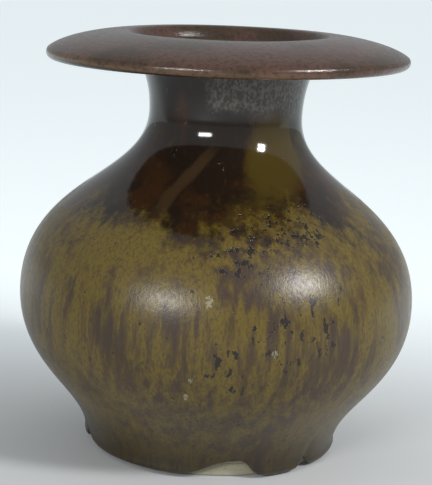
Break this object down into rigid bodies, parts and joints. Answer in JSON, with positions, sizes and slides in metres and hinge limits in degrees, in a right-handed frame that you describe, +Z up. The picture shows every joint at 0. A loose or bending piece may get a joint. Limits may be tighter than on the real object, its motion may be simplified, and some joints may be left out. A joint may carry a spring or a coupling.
{
  "type": "ceramic vase",
  "caption": "Squat globular stoneware vase with a waisted neck, a wide domed flange rim, a bare foot ring and glaze that hangs in runs above the foot.",
  "frame": {"origin": "centre of the foot, on the surface it stands on", "axes": "+Z up along the axis it was thrown round, -Y towards the side in the picture"},
  "size_m": [0.11, 0.11, 0.1155],
  "materials": {
    "stoneware": "bare fired clay, matt",
    "ochre_glaze": "ochre satin glaze with brown streaks and iron spots",
    "dark_glaze": "dark brown gloss glaze",
    "brown_glaze": "brown satin glaze",
    "lining_glaze": "dark brown gloss glaze"
  },
  "bodies": {
    "root": {"thrown_body": "stoneware", "foot_ring": "stoneware", "flange_rim": "stoneware", "belly_glaze": "ochre_glaze", "shoulder_glaze": "dark_glaze", "rim_glaze": "brown_glaze", "lining_glaze": "lining_glaze"}
  },
  "joints": []
}
